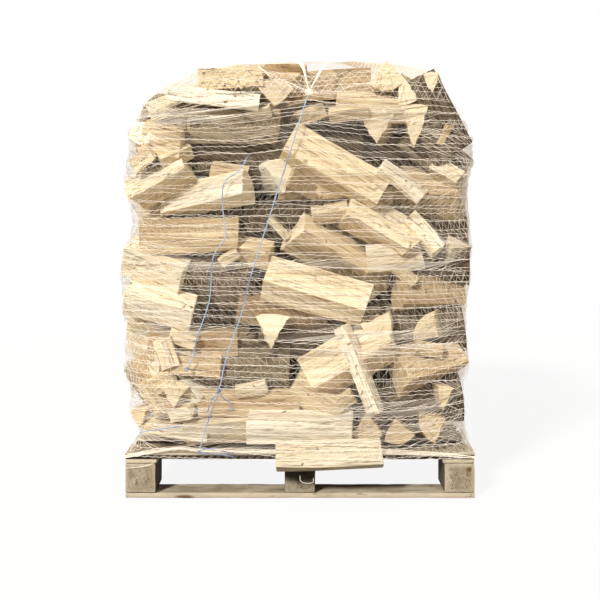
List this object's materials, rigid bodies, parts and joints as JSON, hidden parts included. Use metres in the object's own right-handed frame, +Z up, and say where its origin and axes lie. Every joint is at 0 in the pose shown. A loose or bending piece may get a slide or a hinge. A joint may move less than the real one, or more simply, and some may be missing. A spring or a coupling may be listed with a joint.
{
  "type": "pallet of firewood",
  "caption": "Low wooden pallet with a tall block of loosely stacked split firewood, wrapped in an open knitted net and tied with thin twine.",
  "frame": {"origin": "on the floor, under the middle of the pallet, at the underside of its middle bottom board", "axes": "+Z up; the front, where the low log hangs in the net, faces -Y; +X to the right when seen from the front"},
  "size_m": [1.0576, 1.0907, 1.2643],
  "materials": {
    "pallet_wood": "weathered, rough sawn",
    "split_wood": "split, dry, with bark",
    "pale_split_wood": "split, dry, with bark",
    "net_strand": "knitted film yarn",
    "blue_twine": "twisted twine"
  },
  "bodies": {
    "root": {"block_back_left": "pallet_wood", "block_back_middle": "pallet_wood", "block_back_right": "pallet_wood", "block_front_left": "pallet_wood", "block_front_middle": "pallet_wood", "block_front_right": "pallet_wood", "block_middle_left": "pallet_wood", "block_middle_middle": "pallet_wood", "block_middle_right": "pallet_wood", "bottom_board_back": "pallet_wood", "bottom_board_front": "pallet_wood", "bottom_board_middle": "pallet_wood", "deck_board_1": "pallet_wood", "deck_board_2": "pallet_wood", "deck_board_3": "pallet_wood", "deck_board_4": "pallet_wood", "deck_board_5": "pallet_wood", "deck_board_6": "pallet_wood", "log_bark_corner_left": "pale_split_wood", "log_bark_corner_right": "pale_split_wood", "log_bark_upper_left": "pale_split_wood", "log_big_face_low": "pale_split_wood", "log_broad_face": "pale_split_wood", "log_brown_right": "pale_split_wood", "log_brown_right_lower": "pale_split_wood", "log_chunk_middle": "pale_split_wood", "log_chunk_right": "pale_split_wood", "log_clean_left": "pale_split_wood", "log_dark_middle": "pale_split_wood", "log_edge_end_right": "pale_split_wood", "log_hanging_low": "pale_split_wood", "log_leaning_stick": "pale_split_wood", "log_long_ridge": "pale_split_wood", "log_pale_left": "pale_split_wood", "log_pale_left_lower": "pale_split_wood", "log_pale_low": "pale_split_wood", "log_pale_middle": "pale_split_wood", "log_pile": "split_wood", "log_point_down": "pale_split_wood", "log_point_middle": "pale_split_wood", "log_round_left": "pale_split_wood", "log_shade_right": "pale_split_wood", "log_slab_steep": "pale_split_wood", "log_slab_top_left": "pale_split_wood", "log_sloping_ridge": "pale_split_wood", "log_square_end": "pale_split_wood", "log_tan_left": "pale_split_wood", "log_top_end_right": "pale_split_wood", "log_top_left": "pale_split_wood", "log_top_right": "pale_split_wood", "log_under_ridge": "pale_split_wood", "log_upright_end": "pale_split_wood", "log_upright_face": "pale_split_wood", "log_wedge_left": "pale_split_wood", "net": "net_strand", "stringer_left": "pallet_wood", "stringer_middle": "pallet_wood", "stringer_right": "pallet_wood", "twine_long": "blue_twine", "twine_short": "blue_twine"}
  },
  "joints": []
}
